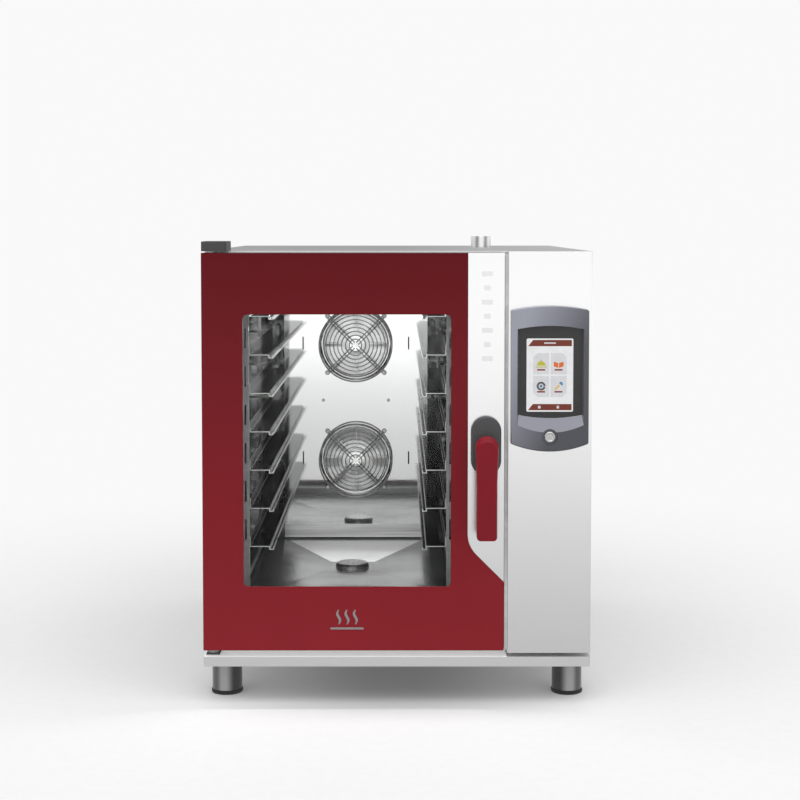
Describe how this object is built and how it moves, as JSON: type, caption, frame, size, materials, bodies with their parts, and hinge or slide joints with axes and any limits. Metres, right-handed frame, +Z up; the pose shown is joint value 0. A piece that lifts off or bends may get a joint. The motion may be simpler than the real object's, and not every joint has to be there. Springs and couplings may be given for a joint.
{
  "type": "combi steamer oven",
  "caption": "Counter-height combi steamer oven: glazed hinged door with turning lever, touch control column, racked cavity with twin fans, roof exhaust and levelling feet.",
  "frame": {"origin": "on the floor under the middle of the oven's overall box", "axes": "+X to the right seen from the front, +Y to the back, +Z up; the door faces -Y"},
  "size_m": [0.788, 1.04, 0.947],
  "materials": {
    "case_steel": "satin brushed sheet",
    "bright_steel": "bright satin sheet",
    "cavity_steel": "mirror polished",
    "wire_steel": "polished wire",
    "foot_steel": "turned tube",
    "red_glass": "red enamel behind glass, clear window",
    "clear_glass": "clear",
    "black_rubber": "matt",
    "gasket_rubber": "silicone",
    "dark_plastic": "fine grain",
    "backplate_plastic": "fine grain",
    "red_plastic": "soft gloss",
    "bezel_plastic": "metallic satin",
    "screen_glass": "black, glossy",
    "screen": "lit display",
    "button_metal": "turned and polished",
    "bush_plastic": "black acetal",
    "hardware_steel": "zinc plated",
    "motor_paint": "black enamel",
    "heater_alloy": "heat-tinted tube",
    "rotor_steel": "pressed sheet",
    "wool": "mineral wool",
    "board": "circuit board",
    "brass_fitting": "turned",
    "pipe_steel": "drawn tube"
  },
  "bodies": {
    "oven": {"base_plinth": "case_steel", "side_panel_left": "case_steel", "side_panel_right": "case_steel", "roof_panel": "case_steel", "rear_panel": "case_steel", "control_column_panel": "bright_steel", "front_frame": "cavity_steel", "cavity_wall_left": "cavity_steel", "cavity_wall_right": "cavity_steel", "cavity_ceiling": "cavity_steel", "cavity_floor": "cavity_steel", "cavity_rear_wall": "cavity_steel", "cavity_insulation": "wool", "door_gasket": "gasket_rubber", "air_baffle": "cavity_steel", "fan_guard_upper": "wire_steel", "fan_guard_lower": "wire_steel", "heater_upper": "heater_alloy", "heater_lower": "heater_alloy", "fan_motor_upper": "motor_paint", "fan_motor_lower": "motor_paint", "baffle_screws": "hardware_steel", "rack_frame_left": "cavity_steel", "rack_frame_right": "cavity_steel", "rack_rails_left": "cavity_steel", "rack_rails_right": "cavity_steel", "drain_strainer": "wire_steel", "drain_pipe": "pipe_steel", "exhaust_chimney": "wire_steel", "upper_hinge_cover": "dark_plastic", "upper_hinge_bracket": "hardware_steel", "lower_hinge_bracket": "hardware_steel", "latch_keeper": "hardware_steel", "control_bezel": "bezel_plastic", "touch_glass": "screen_glass", "display_panel": "screen", "control_board": "board", "cable_gland": "dark_plastic", "water_inlets": "brass_fitting", "casing_screws": "hardware_steel", "foot_tube_front_left": "foot_steel", "foot_tube_front_right": "foot_steel", "foot_tube_rear_left": "foot_steel", "foot_tube_rear_right": "foot_steel"},
    "door": {"door_outer_glass": "red_glass", "door_trim_plate": "bright_steel", "door_casing": "case_steel", "door_inner_glass": "clear_glass", "door_glass_clips": "dark_plastic", "door_bushes": "bush_plastic", "handle_backplate": "backplate_plastic"},
    "handle": {"handle_lever": "red_plastic", "handle_spindle": "hardware_steel"},
    "fan_upper": {"fan_rotor_upper": "rotor_steel"},
    "fan_lower": {"fan_rotor_lower": "rotor_steel"},
    "button": {"start_button": "button_metal"},
    "foot_front_left": {"foot_pad_front_left": "black_rubber"},
    "foot_front_right": {"foot_pad_front_right": "black_rubber"},
    "foot_rear_left": {"foot_pad_rear_left": "black_rubber"},
    "foot_rear_right": {"foot_pad_rear_right": "black_rubber"}
  },
  "joints": [
    {"name": "door_swing", "type": "hinge", "parent": "oven", "child": "door", "pos_m": [-0.376, -0.43, 0.5], "axis": [0, 0, -1], "range_deg": [0, 120]},
    {"name": "handle_turn", "type": "hinge", "parent": "door", "child": "handle", "pos_m": [0.18, -0.46, 0.53], "axis": [0, 1, 0], "range_deg": [0, 90]},
    {"name": "fan_upper_spin", "type": "hinge", "parent": "oven", "child": "fan_upper", "pos_m": [-0.101, 0.28, 0.683], "axis": [0, 1, 0], "continuous": true},
    {"name": "fan_lower_spin", "type": "hinge", "parent": "oven", "child": "fan_lower", "pos_m": [-0.101, 0.28, 0.401], "axis": [0, 1, 0], "continuous": true},
    {"name": "button_press", "type": "slide", "parent": "oven", "child": "button", "axis": [0, 1, 0], "range_m": [0, 0.002], "stiffness_N_per_m": 600, "springref_m": -0.001},
    {"name": "foot_front_left_turn", "type": "hinge", "parent": "oven", "child": "foot_front_left", "pos_m": [-0.355, -0.37, 0.03], "axis": [0, 0, 1], "continuous": true},
    {"name": "foot_front_right_turn", "type": "hinge", "parent": "oven", "child": "foot_front_right", "pos_m": [0.355, -0.37, 0.03], "axis": [0, 0, 1], "continuous": true},
    {"name": "foot_rear_left_turn", "type": "hinge", "parent": "oven", "child": "foot_rear_left", "pos_m": [-0.355, 0.41, 0.03], "axis": [0, 0, 1], "continuous": true},
    {"name": "foot_rear_right_turn", "type": "hinge", "parent": "oven", "child": "foot_rear_right", "pos_m": [0.355, 0.41, 0.03], "axis": [0, 0, 1], "continuous": true}
  ]
}
